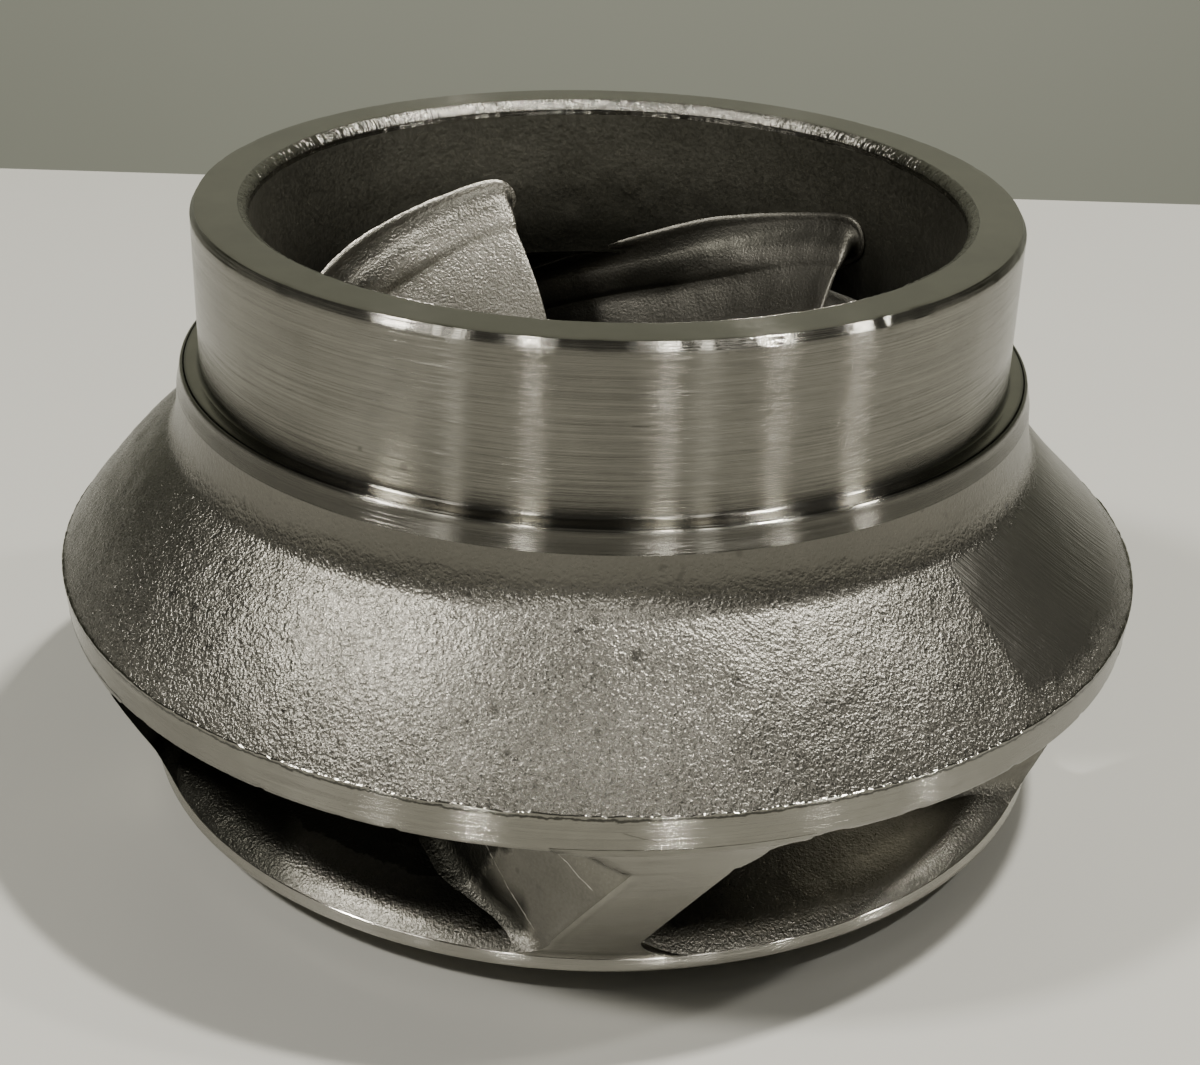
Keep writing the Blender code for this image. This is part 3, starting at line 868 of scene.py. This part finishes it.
def inner_rows():
    """Rows between the two fillets, blended between the wall, the floor, the leading edge and the discharge cone."""
    arc_top, top, full_top = outer_row(ROOT_RADIUS)
    arc_low, low, full_low = floor_row(FLOOR_ROOT_RADIUS)
    share = np.linspace(0, 1, LINE_POINTS)
    wall = np.column_stack([np.interp(share * full_top, arc_top, top[:, k]) for k in (0, 1)])
    floor = np.column_stack([np.interp(share * full_low, arc_low, low[:, k]) for k in (0, 1)])
    radii = np.linspace(floor[0, 0], wall[0, 0], LINE_POINTS)
    edge = respaced(np.column_stack([radii, leading_height(radii)]), LINE_POINTS)
    rows = []
    for s in np.linspace(0, 1, VANE_ROWS):
        first = np.array([np.interp(s, share, edge[:, k]) for k in (0, 1)])
        final = floor[-1] + (wall[-1] - floor[-1]) * s
        m = share[:, None]
        line = (1 - m) * first + m * final + (1 - s) * floor + s * wall
        line -= (1 - m) * ((1 - s) * floor[0] + s * wall[0]) + m * ((1 - s) * floor[-1] + s * wall[-1])
        tail = line[-1] + (line[-1] - line[-2]) * np.arange(1, 30)[:, None]
        head = line[0] - (line[1] - line[0]) * np.arange(12, 0, -1)[:, None]
        whole = np.vstack([head, line, tail])
        arc = lengths(whole)
        arc -= arc[len(head)]
        rows.append((arc, whole, arc[len(head) + LINE_POINTS - 1], s, 0.0))
    return rows[::-1]


def vane_rows():
    """All rows of a vane from the wall to the floor, with a fillet at both."""
    root, floor_root = ROOT_RADIUS, FLOOR_ROOT_RADIUS
    # Depth and swelling. The wall's fillet has a ridge and a channel along its edge.
    wall_levels = [(-0.5, root + 0.9), (0.25, root + 0.55), (0.42, root + 0.1), (0.40, root - 0.5), (0.5, root - 1.1)]
    wall_levels += [(0.8, 2.75), (1.2, 2.25), (1.5, 2.1), (1.9, 1.95), (2.5, 1.65), (3.1, 1.25), (3.7, 0.8)]
    wall_levels += [(4.1, 0.5), (4.22, 0.12), (4.4, 0.0)]
    turn = np.linspace(0, math.pi / 2, 9)
    floor_levels = list(zip(floor_root * (1 - np.cos(turn)), floor_root * (1 - np.sin(turn))))[::-1][:-1]
    floor_levels.append((-0.5, floor_root + 0.6))
    rows = [(*outer_row(depth), 1.0 + (root - depth) * 0.012, swell) for depth, swell in wall_levels]
    rows += inner_rows()[1:-1]
    rows += [(*floor_row(depth), 0.0 - (floor_root - depth) * 0.012, swell) for depth, swell in floor_levels]
    return rows


def vane_outline(arc, line, full, across, swell):
    """One row of the vane as points from the pressure side's end, round the nose, to the other side's end."""
    along = np.append(np.linspace(VANE_REACH, 0, 159, endpoint=False), 0.0)
    along = (along / VANE_REACH) ** 1.7 * VANE_REACH
    half = HALF_THICKNESS_ANGLE * np.sqrt(1 - (1 - np.clip(along / NOSE_SHARE, 0, 1)) ** 2)
    start = np.interp(0.0, arc, line[:, 0])
    begin = LEADING_ANGLE - LEADING_SWEEP * (BORE_RADIUS - start)
    place = min(max(across, 0.0), 1.0)
    finish = TRAILING_ANGLE_BACK + (TRAILING_ANGLE_FRONT - TRAILING_ANGLE_BACK) * place
    middle = begin + (finish - begin) * wrap_share(along)
    x = along * full
    nose = len(x) - 1
    x = np.concatenate([x, x[:-1][::-1]])
    angle = np.radians(np.concatenate([middle - half, (middle + half)[:-1][::-1]]))
    if swell > 0:
        radius = np.interp(x, arc, line[:, 0])
        dx = np.gradient(x)
        dy = np.gradient(angle) * radius
        size = np.maximum(np.hypot(dx, dy), 1e-9)
        # The fillet is thinner round the nose.
        share = np.clip(np.abs(x) / (0.16 * full), 0, 1)
        part = swell * (0.62 + 0.38 * share * share * (3 - 2 * share))
        x, angle = x - dy / size * part, angle + dx / size * part / radius
    sides = []
    for side_x, side_angle in ((x[nose::-1], angle[nose::-1]), (x[nose:], angle[nose:])):
        past = np.flatnonzero(side_x >= full)
        if len(past):
            k = past[0]
            cut = (full - side_x[k - 1]) / (side_x[k] - side_x[k - 1])
            last = side_angle[k - 1] + (side_angle[k] - side_angle[k - 1]) * cut
            side_x, side_angle = np.append(side_x[:k], full), np.append(side_angle[:k], last)
        radius = np.interp(side_x, arc, line[:, 0])
        run = lengths(np.column_stack([side_x, side_angle * radius.mean()]))
        goals = run[-1] * np.linspace(0, 1, VANE_SIDE_COLUMNS) ** 1.35
        side_x, side_angle = np.interp(goals, run, side_x), np.interp(goals, run, side_angle)
        r, z = np.interp(side_x, arc, line[:, 0]), np.interp(side_x, arc, line[:, 1])
        sides.append(np.column_stack([r * np.cos(side_angle), r * np.sin(side_angle), z]))
    return np.vstack([sides[0][::-1], sides[1][1:]])


def vane_grid():
    """The first vane as rows by columns: round both sides, then back over the turned end face."""
    grid = np.stack([vane_outline(*row) for row in vane_rows()])
    first, last = grid[:, 0], grid[:, -1]
    share = np.linspace(0, 1, VANE_END_COLUMNS + 1)[None, 1:-1, None]
    end_face = last[:, None, :] * (1 - share) + first[:, None, :] * share
    radius = np.hypot(end_face[:, :, 0], end_face[:, :, 1])
    share = share[:, :, 0]
    last_radius, first_radius = (np.hypot(side[:, 0], side[:, 1])[:, None] for side in (last, first))
    goal = last_radius * (1 - share) + first_radius * share
    end_face[:, :, :2] *= (goal / radius)[:, :, None]
    return np.concatenate([grid, end_face], axis=1), grid.shape[1]


def vane_caps(levels, columns, around):
    """Faces that close the vane inside the wall and inside the floor."""
    caps = []
    for level in (0, levels - 1):
        base = level * columns
        for k in range(around // 2):
            quad = [base + k, base + k + 1, base + around - 2 - k, base + around - 1 - k]
            if len(set(quad)) == 4:
                caps.append(quad if level else quad[::-1])
    return caps


def make_vanes(finish, shaded_finish, end_finish):
    """Five cast vanes with turned end faces. The first, in the shade of the eye, has the passage skin painted darker,
    as painted shade.
    """
    grid, around = vane_grid()
    levels, columns = grid.shape[:2]
    faces = grid_faces(levels, columns, closed=False)
    caps = vane_caps(levels, columns, around)
    at_end = np.concatenate([faces[:, 0] % columns >= around - 1, np.zeros(len(caps), bool)])
    column = np.tile(np.arange(columns), levels)
    level = np.repeat(np.arange(levels), columns)
    from_end = np.clip(np.minimum(column, around - 1 - column) / 6, 0, 1) * (column < around)
    from_caps = np.clip(np.minimum(level, levels - 1 - level) / 2, 0, 1)
    for number in range(1, VANE_COUNT + 1):
        turn = 2 * math.pi * (number - 1) / VANE_COUNT
        cos, sin = math.cos(turn), math.sin(turn)
        points = grid.reshape(-1, 3) @ np.array([[cos, sin, 0], [-sin, cos, 0], [0, 0, 1]])
        block = points.reshape(levels, columns, 3)
        along_row = np.roll(block, -1, axis=1) - np.roll(block, 1, axis=1)
        out = np.cross(along_row, np.gradient(block, axis=0)).reshape(-1, 3)
        out /= np.maximum(np.linalg.norm(out, axis=1), 1e-9)[:, None]
        rough = lumps(points, (0.08, 5.0, 50 + number), (0.04, 2.4, 60 + number), (0.02, 1.2, 70 + number))
        points = points + out * (rough * from_end * from_caps)[:, None]
        # Where a fillet comes out above the front edge, it is turned flush with the band.
        reach = np.hypot(points[:, 0], points[:, 1])
        above = points[:, 2] - FRONT_EDGE[1]
        flush = FRONT_EDGE[0] + 0.02 + 0.08 * above
        points[:, :2] *= np.where(above > 0, np.minimum(1.0, flush / reach), 1.0)[:, None]
        name, skin, all_faces = f"vane_{number}", shaded_finish if number == 1 else finish, faces.tolist() + caps
        make_piece(f"{name}_cast", points, all_faces, skin, (name,), "passages", 50.0, end_finish, at_end)


# Stage, light and camera.


def make_plane(name, corners, finish):
    mesh = bpy.data.meshes.new(name)
    mesh.from_pydata(corners, [], [(0, 1, 2, 3)])
    mesh.materials.append(finish)
    plane = bpy.data.objects.new(name, mesh)
    bpy.context.scene.collection.objects.link(plane)


def make_stage():
    """A plain pale table, and a plain wall behind its far edge."""
    reach, edge = TABLE_REACH, TABLE_BACK_EDGE
    table = [(-reach, -reach, 0), (reach, -reach, 0), (reach, edge, 0), (-reach, edge, 0)]
    side, back, (foot, top) = BACKDROP_REACH, BACKDROP_PLACE, BACKDROP_HEIGHTS
    wall = [(-side, back, foot), (side, back, foot), (side, back, top), (-side, back, top)]
    make_plane("table", table, stage_material("table", TABLE_COLOUR, 0.38, 60.0))
    make_plane("backdrop", wall, stage_material("backdrop", WALL_COLOUR, 0.8, 200.0))


def unit(vector):
    return vector / np.linalg.norm(vector)


def placed(axes, place):
    """A matrix from the columns of x, y and z and the place."""
    rows = np.column_stack(axes).tolist()
    return Matrix([(*row, p) for row, p in zip(rows, place)] + [(0, 0, 0, 1)])


def add_lamp(name, place, side, up, back, width, height, power, group=None):
    """A soft rectangular light. With a group, it shines on that collection alone."""
    light = bpy.data.lights.new(name, "AREA")
    light.shape = "RECTANGLE"
    light.size, light.size_y = width, height
    light.energy = power
    light.color = LAMP_COLOUR
    lamp = bpy.data.objects.new(name, light)
    lamp.matrix_world = placed([side, up, back], place.tolist())
    bpy.context.scene.collection.objects.link(lamp)
    if group:
        lamp.light_linking.receiver_collection = bpy.data.collections[group]


def add_light(name, azimuth, elevation, size, power, group=None):
    """A square light that faces the impeller. The azimuth is from the camera side, positive to the picture's right."""
    a, e = math.radians(azimuth), math.radians(elevation)
    towards = np.array([math.sin(a) * math.cos(e), -math.cos(a) * math.cos(e), math.sin(e)])
    side = unit(np.cross([0, 0, 1], towards))
    place = towards * LIGHT_DISTANCE + np.array([0, 0, LIGHT_AIM])
    add_lamp(name, place, side, np.cross(towards, side), towards, size, size, power, group)


def add_streak(name, angle, width, power, radius, height, tilts, group):
    """A narrow strip whose mirror image stays at one angle of a ring, however its tool lines tilt."""
    place = np.array([radius * math.sin(angle), -radius * math.cos(angle), height]) * MM
    view = unit(np.array(CAMERA_PLACE) - place)
    ends = []
    for tilt in (math.radians(v) for v in tilts):
        facet = np.array([math.cos(tilt) * math.sin(angle), -math.cos(tilt) * math.cos(angle), math.sin(tilt)])
        ends.append(2 * (facet @ view) * facet - view)
    towards = unit(ends[0] + ends[1])
    up = ends[1] - ends[0]
    length = LIGHT_DISTANCE * np.linalg.norm(up)
    up = unit(up - (up @ towards) * towards)
    place = place + LIGHT_DISTANCE * towards
    add_lamp(name, place, np.cross(up, towards), up, towards, width, length, power, group)


def make_lights():
    """A dim room, soft ceiling lights, and the weak and narrow lights on the metal alone."""
    world = bpy.data.worlds.new("room")
    world.use_nodes = True
    tree = world.node_tree
    _, _, up = separate(node(tree, "ShaderNodeTexCoord", "Generated", {}))
    fill(tree.nodes["Background"], {"Color": mix_colour(spread(up, -0.2, 1.0), *ROOM_COLOURS)})
    bpy.context.scene.world = world
    for k, light in enumerate(CEILING_LIGHTS, 1):
        add_light(f"ceiling_{k}", *light)
    for k, (group, *light) in enumerate(FILL_LIGHTS, 1):
        add_light(f"fill_{k}", *light, group)
    for name, group, radius, height, tilts, streaks in STREAKS:
        for k, (angle, width, power) in enumerate(streaks, 1):
            add_streak(f"{name}_{k}", math.radians(angle), width, power, radius, height, tilts, group)


def make_camera():
    yaw, pitch, roll = (math.radians(v) for v in (CAMERA_YAW, CAMERA_PITCH, CAMERA_ROLL))
    ahead = np.array([math.sin(yaw) * math.cos(pitch), math.cos(yaw) * math.cos(pitch), -math.sin(pitch)])
    right = np.array([math.cos(yaw), -math.sin(yaw), 0.0])
    up = np.cross(right, ahead)
    turned_right = right * math.cos(roll) + up * math.sin(roll)
    turned_up = -right * math.sin(roll) + up * math.cos(roll)
    data = bpy.data.cameras.new("photo_camera")
    data.sensor_width = 36.0
    data.lens = CAMERA_LENS
    data.clip_start = 0.01
    camera = bpy.data.objects.new("photo_camera", data)
    camera.matrix_world = placed([turned_right, turned_up, -ahead], CAMERA_PLACE)
    bpy.context.scene.collection.objects.link(camera)
    bpy.context.scene.camera = camera


for name in ("turned", "band", "passages", "dome", "casting"):
    bpy.data.collections.new(name)
make_camera()
make_stage()
make_lights()
ring_steel = turned_steel(
    "turned_steel", RING_COLOURS, roughness=0.14, tool_pitch=0.02, tool_depth=0.0138, mottling=0.6
)
skin = cast_steel(
    "cast_steel", DOME_COLOURS, grain_mm=0.47, grain_depth=0.14, roughness=0.28, smooth=dome_grain, spots=DOME_SPOTS
)
passage_skin = cast_steel(
    "cast_steel_passage",
    PASSAGE_COLOURS,
    grain_mm=0.42,
    grain_depth=0.12,
    roughness=0.35,
    zones=passage_zones,
    pitted=0.4,
)
# The passage skin painted darker, as painted shade for the first vane and the boss in the eye; it is also rougher, with
# less relief.
shaded_skin = cast_steel(
    "cast_steel_shaded", SHADED_COLOURS, grain_mm=0.42, grain_depth=0.05, roughness=0.42, zones=passage_zones, pitted=0.2
)
bore_skin = cast_steel(
    "cast_steel_bore", BORE_COLOURS, grain_mm=0.9, grain_depth=0.06, roughness=0.5, zones=bore_zones, pitted=0.0
)
make_neck(ring_steel, bore_skin)
make_front_shroud(skin)
make_outlet_band(ring_steel)
make_vanes(passage_skin, shaded_skin, ring_steel)
make_back_shroud(passage_skin)
make_back_rim(ring_steel)
make_hub(shaded_skin, ring_steel)
